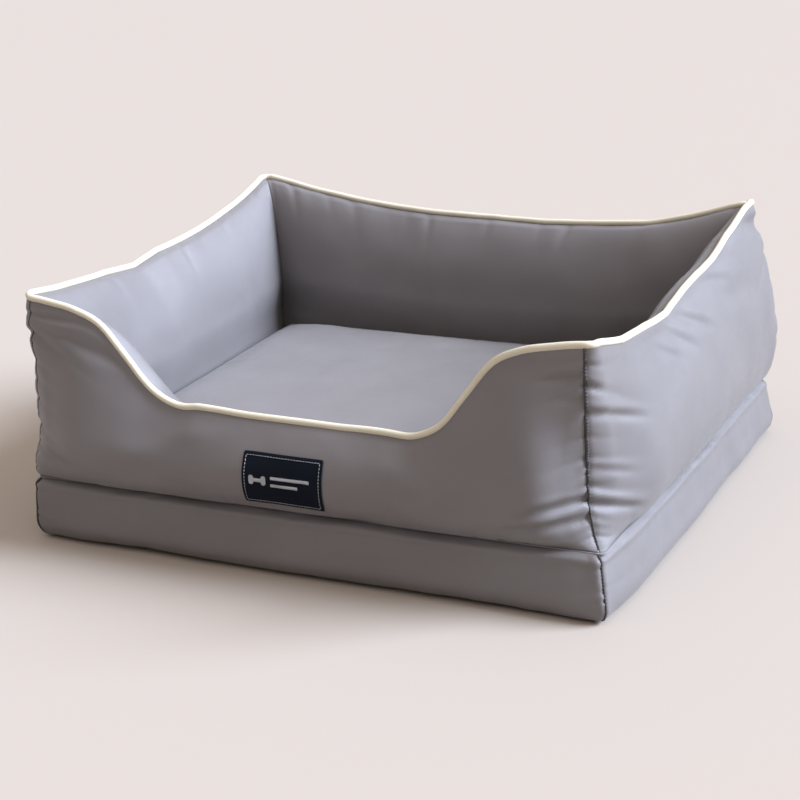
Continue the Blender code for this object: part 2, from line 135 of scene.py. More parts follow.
def weave_height(tree, threads_per_metre, laid_in="cut"):
    """Height of a plain weave, laid in the panel's own length and width, or in the object's space."""
    if laid_in == "cut":
        place = add_node(tree, "ShaderNodeUVMap", uv_map="cut").outputs["UV"]
    else:
        place = add_node(tree, "ShaderNodeTexCoord").outputs["Object"]
    both = add_node(tree, "ShaderNodeMath", operation="ADD")
    for number, direction in enumerate(("X", "Y")):
        wave = add_node(
            tree,
            "ShaderNodeTexWave",
            bands_direction=direction,
            in_Scale=threads_per_metre * math.pi / 10,
            in_Distortion=0.6,
            in_Detail=1.0,
            in_Detail_Scale=2.0,
        )
        tree.links.new(place, wave.inputs["Vector"])
        tree.links.new(wave.outputs["Fac"], both.inputs[number])
    return both.outputs["Value"]


def spotty(tree, scale, detail, low, high):
    """Soft noise in the object's own space, stretched from low to high."""
    place = add_node(tree, "ShaderNodeTexCoord")
    cloud = add_node(tree, "ShaderNodeTexNoise", in_Scale=scale, in_Detail=detail, in_Roughness=0.55)
    tree.links.new(place.outputs["Object"], cloud.inputs["Vector"])
    spread = add_node(tree, "ShaderNodeMapRange", in_From_Min=0.3, in_From_Max=0.7)
    spread.inputs["To Min"].default_value, spread.inputs["To Max"].default_value = low, high
    tree.links.new(cloud.outputs["Fac"], spread.inputs["Value"])
    return spread.outputs["Result"]


def tint_between(tree, share, dark, light):
    tint = add_node(tree, "ShaderNodeMix", data_type="RGBA")
    tint.inputs["A"].default_value = (*dark, 1)
    tint.inputs["B"].default_value = (*light, 1)
    tree.links.new(share, tint.inputs["Factor"])
    return tint.outputs["Result"]


def cloud_colour(tree, shader, scale, detail, dark, light):
    tint = tint_between(tree, spotty(tree, scale, detail, 0, 1), dark, light)
    tree.links.new(tint, shader.inputs["Base Color"])


def add_bump(tree, shader, height, distance, strength=1.0):
    bump = add_node(tree, "ShaderNodeBump", in_Distance=distance, in_Strength=strength)
    tree.links.new(height, bump.inputs["Height"])
    tree.links.new(bump.outputs["Normal"], shader.inputs["Normal"])


def make_cloth(name, dark, light, roughness, sheen, threads=2000, depth=0.00004, laid_in="cut", shine=0.5):
    """A woven cloth between two shades, with its threads counted per metre."""
    material, tree, shader = start_material(name, light, roughness)
    shader.inputs["Sheen Weight"].default_value = sheen
    shader.inputs["Sheen Roughness"].default_value = 0.45
    shader.inputs["Specular IOR Level"].default_value = shine
    cloud_colour(tree, shader, 14, 4, dark, light)
    tree.links.new(spotty(tree, 40, 3, roughness - 0.05, roughness + 0.07), shader.inputs["Roughness"])
    add_bump(tree, shader, weave_height(tree, threads, laid_in), depth)
    return material


taupe_cloth = make_cloth("taupe_cloth", (0.153, 0.141, 0.140), (0.169, 0.157, 0.156), 0.44, 0.12)


# --- The base -----------------------------------------------------------------------------------------------
# A foam slab in a fabric box: bands round the sides, a dark cloth underneath, and the deck that the walls
# stand on. The back band is two strips with the zip between them.

deck_low, deck_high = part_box("deck_panel")
half_x, half_y = deck_high.x + 0.002, deck_high.y + 0.002
base_top, wall_foot = deck_low.z, deck_high.z
# The sides in order round the bed, each with the way it faces.
SIDES = {"front": (0, -1), "right": (1, 0), "back": (0, 1), "left": (-1, 0)}


def smooth_step(low, high, value):
    share = np.clip((value - low) / (high - low), 0, 1)
    return share * share * (3 - 2 * share)


def through(points, where):
    """A smooth curve through (position, value) points, read at where."""
    knots, values = np.array(points, float).T
    slopes = np.gradient(values, knots)
    where = np.clip(where, knots[0], knots[-1])
    k = np.clip(np.searchsorted(knots, where) - 1, 0, len(knots) - 2)
    span = knots[k + 1] - knots[k]
    f = (where - knots[k]) / span
    rise = values[k] * (1 + 2 * f) * (1 - f) ** 2 + values[k + 1] * f * f * (3 - 2 * f)
    return rise + span * (slopes[k] * f * (1 - f) ** 2 - slopes[k + 1] * f * f * (1 - f))


def side_path(side, share, inset, radius, past_corner, halves=(half_x, half_y)):
    """Plan points along one side of a rounded rectangle, inset from the base's outline. Share runs from 0 to
    1, from past_corner before the side's straight stretch to as far after it."""
    out_x, out_y = SIDES[side]
    along_half, out_half = halves[::-1] if out_x else halves
    straight = along_half - inset - radius
    way = (2 * share - 1) * (straight + past_corner)
    over = np.maximum(np.abs(way) - straight, 0)
    angle = np.minimum(over / radius, math.pi / 2)
    beyond = over - angle * radius
    along = np.sign(way) * (np.minimum(np.abs(way), straight) + radius * np.sin(angle))
    out = out_half - inset - radius + radius * np.cos(angle) - beyond
    return along * -out_y + out * out_x, along * out_x + out * out_y


def graded(length, fine, coarse, reach):
    """Shares from 0 to 1 along a length, in fine steps at both ends that grow coarse beyond reach."""
    steps = [0.0]
    while steps[-1] < length / 2:
        near = min(steps[-1] / reach, 1)
        steps.append(steps[-1] + fine + (coarse - fine) * near)
    half = np.array(steps) / steps[-1] / 2
    return np.concatenate([half, 1 - half[-2::-1]])


def cloudy(points, scale, seed):
    """Smooth noise between -1 and 1 at each of an array of points."""
    shift = Vector((seed, 0, 0))
    values = [noise.noise(Vector(point) * scale + shift) for point in points.reshape(-1, 3)]
    return np.array(values).reshape(points.shape[:-1])


def from_row(grid, row):
    """Each point's distance from its column's point in one row."""
    return np.linalg.norm(grid - grid[:, row, None], axis=2)


def walked(points):
    """Distance walked along a line of points."""
    return np.concatenate([[0], np.cumsum(np.linalg.norm(np.diff(points, axis=0), axis=1))])


def grid_faces(columns, rows, ring=False):
    ids = np.arange(columns * rows).reshape(columns, rows)
    ahead = np.roll(ids, -1, axis=0) if ring else ids[1:]
    here = ids if ring else ids[:-1]
    return np.stack([here[:, :-1], ahead[:, :-1], ahead[:, 1:], here[:, 1:]], -1).reshape(-1, 4)


def add_piece(name, mesh, material):
    """A smooth-shaded piece from its mesh."""
    mesh.materials.append(material)
    mesh.shade_smooth()
    piece = bpy.data.objects.new(name, mesh)
    scene.collection.objects.link(piece)
    return piece


def add_panel(name, grid, material, thick=CLOTH_THICK, smooth=1):
    """A cloth panel from points (columns, rows, 3), its own length and width kept as its UVs."""
    columns, rows = grid.shape[:2]
    quads = grid_faces(columns, rows)
    mesh = bpy.data.meshes.new(name)
    mesh.from_pydata(grid.reshape(-1, 3).tolist(), [], quads.tolist())
    cut = np.stack(np.meshgrid(walked(grid[:, rows // 2]), walked(grid[columns // 2]), indexing="ij"), -1)
    layer = mesh.uv_layers.new(name="cut")
    layer.data.foreach_set("uv", cut.reshape(-1, 2)[quads.ravel()].astype(np.float32).ravel())
    panel = add_piece(name, mesh, material)
    backing = panel.modifiers.new("cloth", "SOLIDIFY")
    backing.thickness = thick
    backing.offset = -1
    if smooth:
        rounding = panel.modifiers.new("smooth", "SUBSURF")
        rounding.levels = rounding.render_levels = smooth
    return panel


def finer(grid, ring=False):
    """A grid with a point added between each two, on the smooth curve through its neighbours."""
    for axis, closed in ((0, ring), (1, False)):
        line = np.moveaxis(grid, axis, 0)
        ends = (line[-1:], line[:2]) if closed else (2 * line[:1] - line[1:2], 2 * line[-1:] - line[-2:-1])
        longer = np.concatenate([ends[0], line, ends[1]])
        middles = (9 * (longer[1:-2] + longer[2:-1]) - longer[:-3] - longer[3:]) / 16
        full = np.empty((len(line) + len(middles), *line.shape[1:]))
        full[::2], full[1::2] = line, middles
        grid = np.moveaxis(full, 0, axis)
    return grid


def face_normals(grid, ring=False):
    """Unit normals of a grid's points."""
    across = np.roll(grid, -1, axis=0) - np.roll(grid, 1, axis=0) if ring else np.gradient(grid, axis=0)
    normals = np.cross(across, np.gradient(grid, axis=1))
    return normals / np.maximum(np.linalg.norm(normals, axis=2, keepdims=True), 1e-9)


def drawn_up(distance, along, seed, reach, spacing, depth):
    """Height of the gathers beside a seam: narrow creases across it with soft ridges between, each of its own
    length and strength."""
    steps = np.linspace(np.min(along), np.max(along), 600)

    def uneven(creases, shift):
        values = [noise.noise(Vector((step / spacing / creases, seed + shift, 0))) for step in steps]
        return np.interp(along, steps, values)

    strength = np.clip(0.55 + 1.3 * uneven(1.4, 9.1), 0.05, 1.3)
    place = along / spacing + 0.8 * uneven(2.3, 0) + 0.5 * uneven(3.1, 4.7) * distance / spacing
    crease = (1 - np.abs(np.sin(math.pi * place))) ** 1.7
    fall = np.exp(-distance / (reach * (0.35 + strength)))
    return depth * strength * fall * (0.35 - 1.25 * crease)


def foot_wander(x, y):
    """How the seam between the base and the walls strays up and down."""
    return 0.0016 * cloudy(np.stack([x, y, 0 * x], -1), 13, 31.0)


# The band's inset and its height, by share of the way up it.
BAND_SECTION = [(0, 0.0090), (0.11, 0.0010), (0.20, -0.0048), (0.29, -0.0072), (0.59, -0.0062),
                (0.84, -0.0036), (0.95, -0.0022), (1, 0.0024)]
BAND_LEVELS = [(0, 0.0006), (0.11, 0.0012), (0.20, 0.0040), (0.29, 0.0095), (0.59, 0.0300), (0.84, 0.0470),
               (0.95, 0.0536), (1, base_top + 0.0008)]
BAND_TURN, TOP_TURN = 0.003, 0.008
ZIP_LEVEL, ZIP_GAP, ZIP_CLOSED = 0.030, 0.0052, 0.0003
LOWEST = 0.0003
# How much further each side of the base bulges in its middle than at its corners.
FULLER = {"front": 0.55, "right": 0.2, "back": 0, "left": -0.45}


def corner_tuck(x, y, up):
    """How far the slab's two front corners are worn in at the floor, as a shift in x and y."""
    left = np.exp(-((x + half_x) ** 2 + (y + half_y) ** 2) / 0.045**2)
    right = np.exp(-((x - half_x) ** 2 + (y + half_y) ** 2) / 0.040**2)
    low = 1 - smooth_step(0.1, 0.95, up)
    return left * (0.003 + 0.009 * low) - 0.0045 * right, -0.003 * right * low


def band_point(side, share, up):
    middle = 1 - np.abs(2 * share - 1) ** 3
    section = through(BAND_SECTION, up)
    inset = np.where(section < 0, section * (1 + FULLER[side] * middle), section)
    radius = BAND_TURN + (TOP_TURN - BAND_TURN) * smooth_step(0.2, 0.8, up)
    x, y = side_path(side, share, inset, radius, radius * math.pi / 4)
    level = through(BAND_LEVELS, up) + foot_wander(x, y) * smooth_step(0.75, 1, up)
    tuck_x, tuck_y = corner_tuck(x, y, up)
    return np.stack([x + tuck_x, y + tuck_y, level], -1)


def add_band(name, side, share, up, seed, ruffle, nodes):
    """One piece of the band, drawn up along its corner seams and under the wall. Ruffle is 0 where it lies
    flat, and None where none of it does."""
    grid = finer(band_point(side, share, up))
    share, up = (finer(part[..., None])[..., 0] for part in (share, up))
    ruffle = 1 if ruffle is None else finer(ruffle[..., None])[..., 0]
    along = share * 2 * (half_y if SIDES[side][0] else half_x)
    to_end = np.minimum(along, along.max() - along)
    from_top = np.maximum(base_top - grid[..., 2], 0)
    lift = drawn_up(to_end, grid[..., 2] + 0.2 * to_end, seed, 0.011, 0.0080, 0.0013)
    lift += drawn_up(from_top, along, seed + 11.4, 0.010, 0.034, 0.0012)
    lift -= 0.0012 * np.exp(-((to_end / 0.0025) ** 2))
    lift += 0.0022 * cloudy(grid, 11, seed) + 0.0008 * cloudy(grid, 34, seed)
    held = np.minimum(smooth_step(0, 0.06, up), smooth_step(0, 0.05, 1 - up))
    grid = grid + face_normals(grid) * (lift * held * ruffle)[..., None]
    grid[..., 2] = np.maximum(grid[..., 2], LOWEST)
    band = add_panel(name, grid, taupe_cloth, smooth=0)
    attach(band, "cover")
    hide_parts(*nodes)


band_rows = graded(0.075, 0.0025, 0.0045, 0.015)
for number, side in enumerate(("front", "right", "left")):
    shares = graded(2 * (half_y if SIDES[side][0] else half_x), 0.0026, 0.0064, 0.030)
    share, up = np.meshgrid(shares, band_rows, indexing="ij")
    add_band(f"base_{side}_cloth", side, share, up, 20.3 + number, None, [f"base_{side}_band"])

shares = graded(2 * half_x, 0.0026, 0.0064, 0.030)
level_table = np.linspace(0, 1, 200)
for half, sign in (("upper", 1), ("lower", -1)):
    from_middle = np.abs(shares - 0.5) * 2 * half_x
    gap = ZIP_CLOSED + (ZIP_GAP - ZIP_CLOSED) * (1 - smooth_step(0.203, 0.211, from_middle))
    edge = np.interp(ZIP_LEVEL + sign * gap, through(BAND_LEVELS, level_table), level_table)
    rows = graded(0.03, 0.0015, 0.0040, 0.010)
    start, end = (edge, np.ones_like(edge)) if sign > 0 else (np.zeros_like(edge), edge)
    up = start[:, None] + (end - start)[:, None] * rows
    share = shares[:, None] + 0 * up
    beside_zip = smooth_step(0.004, 0.020, np.abs(through(BAND_LEVELS, up) - ZIP_LEVEL))
    name = f"base_back_{half}_cloth"
    add_band(name, "back", share, up, 27.3, beside_zip, [f"base_back_{half}_strip"])


def paint_node(node, material):
    """A solid from the frame keeps its shape and gets its finish."""
    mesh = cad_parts[node].data
    mesh.materials.clear()
    mesh.materials.append(material)


lining_cloth = make_cloth(
    "lining_cloth", (0.20, 0.19, 0.195), (0.23, 0.22, 0.225), 0.75, 0.1, 1400, laid_in="space"
)
paint_node("deck_panel", lining_cloth)


def make_underside_cloth():
    """A dark cloth with rows of small rubber dots that keep the bed from sliding."""
    material, tree, shader = start_material("underside_cloth", (0.035, 0.034, 0.037), 0.85)
    place = add_node(tree, "ShaderNodeTexCoord")
    dots = add_node(tree, "ShaderNodeTexVoronoi", in_Scale=95, in_Randomness=0.0)
    tree.links.new(place.outputs["Object"], dots.inputs["Vector"])
    dome = add_node(tree, "ShaderNodeMapRange", in_From_Min=0.22, in_From_Max=0.12)
    tree.links.new(dots.outputs["Distance"], dome.inputs["Value"])
    tree.links.new(tint_between(tree, dome.outputs["Result"], (0.035, 0.034, 0.037), (0.09, 0.09, 0.095)),
                   shader.inputs["Base Color"])
    add_bump(tree, shader, dome.outputs["Result"], 0.0006)
    return material


def make_foam(name, colour, pores_per_metre):
    material, tree, shader = start_material(name, colour, 0.95)
    darker = tuple(0.8 * part for part in colour)
    cloud_colour(tree, shader, 30, 3, darker, colour)
    add_bump(tree, shader, spotty(tree, pores_per_metre, 2, 0, 1), 0.0004)
    return material


x, y = np.meshgrid(
    np.linspace(-1, 1, 80) * (half_x - 0.004), np.linspace(-1, 1, 66) * (half_y - 0.004), indexing="ij"
)
tuck_x, tuck_y = corner_tuck(x, y, 0 * x)
underside_grid = np.stack([x + tuck_x, y + tuck_y, 0.0004 + 0 * x], -1)[:, ::-1]
underside = add_panel("underside_cloth", underside_grid, make_underside_cloth(), smooth=0)
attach(underside, "cover")
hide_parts("underside_panel")
paint_node("base_foam_slab", make_foam("cream_foam", (0.72, 0.66, 0.46), 900))


# --- The cover's zip ----------------------------------------------------------------------------------------
# A nylon coil zip along the back of the base, so that the foam can come out for washing. Each tape carries a
# row of coil teeth, and a slider with a flat pull runs between two stops.


def make_tape_cloth():
    """Narrow tape with fine ribs along it."""
    material, tree, shader = start_material("zip_tape_cloth", (0.16, 0.155, 0.16), 0.8)
    place = add_node(tree, "ShaderNodeTexCoord")
    ribs = add_node(tree, "ShaderNodeTexWave", bands_direction="Z", in_Scale=90.0, in_Distortion=0.2)
    tree.links.new(place.outputs["Object"], ribs.inputs["Vector"])
    cloud_colour(tree, shader, 60, 3, (0.13, 0.125, 0.13), (0.17, 0.165, 0.17))
    add_bump(tree, shader, ribs.outputs["Fac"], 0.0001)
    return material


def make_dark_metal():
    """Gunmetal plating, a little worn and cloudy."""
    material, tree, shader = start_material("dark_zip_metal", (0.28, 0.27, 0.27), 0.32, 0.95)
    tree.links.new(spotty(tree, 400, 4, 0.24, 0.42), shader.inputs["Roughness"])
    cloud_colour(tree, shader, 250, 3, (0.22, 0.215, 0.215), (0.34, 0.33, 0.33))
    return material


def make_nylon():
    material, tree, shader = start_material("coil_nylon", (0.12, 0.115, 0.12), 0.42)
    tree.links.new(spotty(tree, 300, 2, 0.36, 0.5), shader.inputs["Roughness"])
    cloud_colour(tree, shader, 90, 2, (0.10, 0.095, 0.10), (0.14, 0.135, 0.14))
    return material


tape_cloth, dark_metal, coil_nylon = make_tape_cloth(), make_dark_metal(), make_nylon()
COIL_PITCH = 0.0024


def add_coil(name, node, body, lead):
    """One row of coil teeth: rounded loops a pitch apart that reach across to the other row's gaps."""
    low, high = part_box(node)
    reach = high.z - low.z
    tooth = bmesh.new()
    bmesh.ops.create_cube(tooth, size=1)
    bmesh.ops.scale(tooth, vec=(COIL_PITCH * 0.46, high.y - low.y, reach), verts=tooth.verts)
    bmesh.ops.bevel(tooth, geom=tooth.edges[:], offset=0.00045, segments=2, affect="EDGES")
    teeth = bmesh.new()
    whole = bpy.data.meshes.new(name)
    tooth.to_mesh(whole)
    tooth.free()
    middle = (low + high) / 2
    x = low.x + COIL_PITCH * (0.5 + lead)
    while x < high.x - COIL_PITCH * 0.25:
        before = len(teeth.verts)
        teeth.from_mesh(whole)
        teeth.verts.ensure_lookup_table()
        bmesh.ops.translate(teeth, vec=(x, middle.y, middle.z), verts=teeth.verts[before:])
        x += COIL_PITCH
    teeth.to_mesh(whole)
    teeth.free()
    coil = add_piece(name, whole, coil_nylon)
    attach(coil, body)
    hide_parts(node)


def finish_zip(prefix, body):
    for half, lead in (("upper", 0.0), ("lower", 0.5)):
        paint_node(f"{prefix}_tape_{half}", tape_cloth)
        add_coil(f"{prefix}_{half}_teeth", f"{prefix}_coil_{half}", body, lead)
    for metal in ("top_stop", "bottom_stop", "slider", "puller"):
        node = f"{prefix}_{metal}"
        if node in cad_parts:
            paint_node(node, dark_metal)
            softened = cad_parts[node].modifiers.new("polished_edges", "BEVEL")
            softened.width, softened.segments = 0.00025, 2


finish_zip("cover_zip", "cover")


# --- The walls' outer panels --------------------------------------------------------------------------------
# Four panels of the cover's cloth, cut a little large, sewn to the base at the foot and to the piping at the
# rim, then stuffed. The side panels turn the corners, so the upright seams stand a little way round. The rim
# sags between its corners and dips at the front to let the animal in.

piping_low, piping_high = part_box("piping")
PIPING_RADIUS = 0.0031
RIM_TURN = 0.008
rim_inset = half_x - piping_high.x + PIPING_RADIUS
back_corner_rim = piping_high.z - PIPING_RADIUS
front_corner_rim = back_corner_rim - 0.006
SIDE_RIM, ENTRY_X = 0.208, -0.0045
# How the stuffing lifts and sags each stretch of the rim, as (place along the side, lift).
RIM_LIFTS = {
    "front": [(-0.28, -0.003), (-0.24, -0.003), (-0.10, 0.003), (-0.03, 0), (0.24, -0.001), (0.28, 0)],
    "right": [(-0.227, 0), (-0.20, -0.001), (-0.155, -0.004), (-0.10, -0.002), (-0.046, -0.003),
              (-0.034, 0), (0.0, 0.0055), (0.04, 0.0078), (0.085, 0.0052), (0.13, 0.0085), (0.19, 0.0065),
              (0.227, -0.001)],
    "back": [(-0.28, -0.001), (-0.12, -0.0015), (0, -0.0005), (0.06, -0.0035), (0.11, -0.005),
             (0.165, -0.0085), (0.21, -0.0065), (0.25, -0.0025), (0.28, -0.001)],
    "left": [(-0.227, -0.003), (-0.16, 0.0005), (-0.095, 0.0033), (-0.046, 0.001), (-0.034, 0.003),
             (-0.005, 0.0058), (0.05, 0.004), (0.12, 0.001), (0.17, -0.0015), (0.227, -0.001)],
}
# The rim's height over the entry, by distance from the entry's middle.
ENTRY_RISE = [(0, 0.139), (0.09, 0.139), (0.1165, 0.1393), (0.1405, 0.1519), (0.1645, 0.181),
              (0.1885, 0.2101), (0.2125, 0.2222), (0.239, 0.2287), (0.266, front_corner_rim),
              (0.29, front_corner_rim)]


def rim_level(x, y):
    """Height of the piping's centre over a plan point on the rim."""
    reach_x, reach_y = np.abs(x) / (half_x - rim_inset), np.abs(y) / (half_y - rim_inset)
    over_ends = reach_y >= reach_x
    reach = np.minimum(np.where(over_ends, reach_x, reach_y) / 0.96, 1)
    corner = np.where(y > 0, back_corner_rim, front_corner_rim)
    sag = SIDE_RIM + (corner - SIDE_RIM) * reach**2
    entry = through(ENTRY_RISE, np.abs(x - ENTRY_X))
    place = np.where(over_ends, x, y)
    lift = {side: np.interp(place, *zip(*points)) for side, points in RIM_LIFTS.items()}
    ends = np.where(y < 0, entry + lift["front"], sag + lift["back"])
    return np.where(over_ends, ends, sag + np.where(x > 0, lift["right"], lift["left"]))


def stuffed(name, grid, sewn, gathered, extra, pressure, most, ring=True):
    """Points (columns, rows, 3) after stuffing. sewn is 1 where a point can't move, gathered is 1 where the
    cloth is drawn up along a seam, extra is the share of spare cloth, most is how far a point may move."""
    columns, rows = grid.shape[:2]
    mesh = bpy.data.meshes.new(name)
    mesh.from_pydata(grid.reshape(-1, 3).tolist(), [], grid_faces(columns, rows, ring).tolist())
    form = bpy.data.objects.new(name, mesh)
    scene.collection.objects.link(form)
    for group_name, weights in (("sewn", sewn), ("gathered", gathered)):
        group = form.vertex_groups.new(name=group_name)
        flat = np.round(weights.ravel(), 2)
        for weight in np.unique(flat[flat > 0]):
            group.add(np.flatnonzero(flat == weight).tolist(), float(weight), "REPLACE")
    cloth = form.modifiers.new("stuffing", "CLOTH")
    settings = cloth.settings
    settings.quality = 5
    settings.mass = 0.15
    settings.tension_stiffness = settings.compression_stiffness = 25
    settings.shear_stiffness = 8
    settings.bending_stiffness = 0.3
    settings.air_damping = 4
    settings.vertex_group_mass = "sewn"
    settings.vertex_group_shrink = "gathered"
    settings.shrink_min, settings.shrink_max = -extra, extra * 0.3
    settings.use_pressure = True
    settings.uniform_pressure_force = pressure
    settings.effector_weights.gravity = 0
    cloth.collision_settings.use_collision = False
    last_frame = 22
    cloth.point_cache.frame_start, cloth.point_cache.frame_end = 1, last_frame
    for step in range(1, last_frame + 1):
        scene.frame_set(step)
    whole = form.evaluated_get(bpy.context.evaluated_depsgraph_get())
    moved = np.empty(columns * rows * 3, np.float32)
    whole.data.vertices.foreach_get("co", moved)
    scene.frame_set(1)
    bpy.data.objects.remove(form, do_unlink=True)
    move = moved.reshape(grid.shape) - grid
    # The grid's own short creases are eased out. The gathers are drawn up afterwards, on a finer grid.
    for _ in range(6):
        for axis in (0, 1):
            line = np.moveaxis(move, axis, 0)
            before, after = np.roll(line, 1, axis=0), np.roll(line, -1, axis=0)
            if axis or not ring:
                before[0], after[-1] = line[0], line[-1]
            line[...] = (before + 2 * line + after) / 4
        move *= (sewn < 1)[..., None]
    far = np.linalg.norm(move, axis=2, keepdims=True)
    return grid + move * np.minimum(1, most / np.maximum(far, 1e-9))


def fold(across, up, ends, width, depth):
    """Height of one fold between two ends: a crease, and the puff that it leaves above it."""
    (start_across, start_up), (end_across, end_up) = ends
    run = np.array([end_across - start_across, end_up - start_up])
    length = np.hypot(*run)
    along = ((across - start_across) * run[0] + (up - start_up) * run[1]) / length**2
    side = ((up - start_up) * run[0] - (across - start_across) * run[1]) / length * np.sign(run[0])
    taper = np.exp(-np.abs(2 * along - 1) ** 3 / 0.8)
    return depth * taper * (0.5 * np.exp(-((side / width - 1.7) ** 2)) - np.exp(-((side / width) ** 2)))


# How far the stuffing pushes a panel out, by share of the way up it.
OUTER_SWELL = [(0, 0), (0.02, 0.0078), (0.06, 0.0130), (0.12, 0.0170), (0.24, 0.0205), (0.45, 0.0185),
               (0.68, 0.0120), (0.88, 0.0050), (1, 0)]
# How full each front corner is at its seam, as a share of that swell, up from the foot.
LEFT_CORNER = [(0, 0.8), (0.08, 0.65), (0.2, 0.40), (0.45, 0.35), (0.7, 0.35), (0.85, 0.6), (1, 1)]
RIGHT_CORNER = [(0, -0.15), (1, -0.15)]
# How far round the corner each upright seam stands, and how soon a panel is full beside the front seams.
CORNERS = ("front_left", "front_right", "back_right", "back_left")
SEAM_REACH = {
    "front_left": [(0, 0.006), (0.4, 0.0095), (0.75, 0.0095), (1, 0.008)],
    "front_right": [(0, 0.004), (0.12, 0.008), (0.5, 0.010), (1, 0.009)],
    "back_right": [(0, 0.004), (1, 0.009)],
    "back_left": [(0, 0.004), (1, 0.009)],
}
FRONT_FADE = {"front": 0.070, "right": 0.110, "left": 0.130, "back": 1}


def outer_point(side, share, up):
    """Points of the outer skin: share along the side's panel, up from its foot seam to the rim."""
    wraps = side in ("right", "left")
    number = list(SIDES).index(side)
    to_front = {"front": np.minimum(share, 1 - share), "right": share, "left": 1 - share, "back": 1}
    from_front_seam = to_front[side] * 2 * (half_y if wraps else half_x)
    left_side = side == "left" or (share < 0.5) & (side == "front")
    at_seam = np.where(left_side, through(LEFT_CORNER, up), through(RIGHT_CORNER, up))
    if side == "back":
        at_seam = 1
    fade = smooth_step(0, FRONT_FADE[side], from_front_seam)
    ends = [through(SEAM_REACH[CORNERS[corner % 4]], up) for corner in (number, number + 1)]
    reach = (1 - share) * ends[0] + share * ends[1]

    def plan(height):
        neutral = 0.0030 + (rim_inset - 0.0044) * height
        inset = neutral - through(OUTER_SWELL, height) * (at_seam + (1 - at_seam) * fade)
        radius = 0.008 + (RIM_TURN - 0.008) * height + 1.3 * through(OUTER_SWELL, height)
        past = reach + (math.pi / 2 - 1) * radius if wraps else radius - reach
        return side_path(side, share, inset, radius, past)

    rim_x, rim_y = plan(np.ones_like(up))
    top = rim_level(rim_x, rim_y) - 0.0012
    x, y = plan(up)
    foot = wall_foot + foot_wander(x, y) * (1 - up) ** 6
    return np.stack([x, y, foot + (top - foot) * up], -1)


def lay_ring(point, rows, fine, coarse, reach, trim):
    """A ring's points, all four sides in order, and the column at which each side starts."""
    parts, starts = [], [0]
    for side, (out_x, out_y) in SIDES.items():
        shares = graded(2 * ((half_y if out_x else half_x) - trim), fine, coarse, reach)
        share, up = np.meshgrid(shares[:-1], rows, indexing="ij")
        parts.append(point(side, share, up))
        starts.append(starts[-1] + len(shares) - 1)
    return np.concatenate(parts), starts


def seam_distances(grid, starts):
    """Distance walked round a ring's middle, and each column's distance from the nearest upright seam."""
    middle = grid[:, grid.shape[1] // 2]
    walk = walked(middle)
    around = walk[-1] + np.linalg.norm(middle[0] - middle[-1])
    away = [np.abs((walk - walk[start] + around / 2) % around - around / 2) for start in starts[:-1]]
    return walk, np.min(away, axis=0)


rows_up = graded(0.175, 0.0028, 0.0050, 0.025)
outer_grid, outer_starts = lay_ring(outer_point, rows_up, 0.0026, 0.0062, 0.030, 0)
_, to_seam = seam_distances(outer_grid, outer_starts)
above_foot = from_row(outer_grid, 0)
below_rim = from_row(outer_grid, -1)
sewn = np.zeros(outer_grid.shape[:2])
sewn[:, 0] = sewn[:, -1] = 1
sewn[outer_starts[:-1]] = 1
gathered = np.exp(-np.minimum(np.minimum(to_seam[:, None], below_rim), above_foot * 1.5) / 0.006)
outer_skin = stuffed("outer_skin", outer_grid, sewn, gathered, extra=0.003, pressure=2.2, most=0.014)
outer_skin = finer(outer_skin, ring=True)
outer_starts = [2 * start for start in outer_starts]

# The larger folds, as (place along the side, height) at both ends, then width and depth.
FOLDS = {
    "front": [
        (((-0.264, 0.214), (-0.205, 0.213)), 0.0050, 0.0026),
        (((-0.262, 0.201), (-0.215, 0.196)), 0.0045, 0.0022),
        (((-0.228, 0.197), (-0.165, 0.176)), 0.0070, 0.0028),
        (((-0.268, 0.092), (-0.225, 0.078)), 0.0050, 0.0022),
        (((0.222, 0.200), (0.272, 0.209)), 0.0045, 0.0036),
        (((0.240, 0.184), (0.272, 0.190)), 0.0035, 0.0020),
        (((0.210, 0.090), (0.276, 0.102)), 0.0045, 0.0038),
        (((0.200, 0.073), (0.276, 0.086)), 0.0045, 0.0036),
        (((-0.20, 0.085), (-0.10, 0.075)), 0.012, 0.0018),
        (((0.03, 0.080), (0.13, 0.088)), 0.014, 0.0020),
    ],
    "right": [
        (((-0.230, 0.180), (-0.150, 0.151)), 0.0036, 0.0032),
        (((-0.230, 0.132), (-0.170, 0.110)), 0.0032, 0.0016),
        (((-0.230, 0.102), (-0.160, 0.075)), 0.0038, 0.0036),
        (((-0.030, 0.200), (0.030, 0.172)), 0.0045, 0.0018),
        (((-0.062, 0.196), (-0.012, 0.166)), 0.0045, 0.0016),
        (((-0.095, 0.192), (-0.050, 0.168)), 0.0040, 0.0012),
        (((0.040, 0.212), (0.105, 0.194)), 0.0050, 0.0014),
        (((0.165, 0.232), (0.235, 0.214)), 0.008, 0.0045),
        (((0.06, 0.190), (0.15, 0.175)), 0.010, 0.0016),
    ],
    "back": [
        (((0.150, 0.190), (0.235, 0.165)), 0.010, 0.0028),
        (((-0.20, 0.120), (-0.08, 0.105)), 0.012, 0.0022),
        (((0.02, 0.180), (0.10, 0.165)), 0.011, 0.0018),
    ],
    "left": [
        (((-0.215, 0.170), (-0.150, 0.150)), 0.009, 0.0028),
        (((-0.04, 0.190), (0.04, 0.165)), 0.010, 0.0024),
        (((0.12, 0.130), (0.215, 0.150)), 0.010, 0.0028),
    ],
}
walk, to_seam = seam_distances(outer_skin, outer_starts)
walk, to_seam = walk[:, None] + 0 * outer_skin[..., 0], to_seam[:, None] + 0 * outer_skin[..., 0]
above_foot = from_row(outer_skin, 0)
below_rim = from_row(outer_skin, -1)
down_slope = outer_skin[..., 2] + 0.32 * to_seam
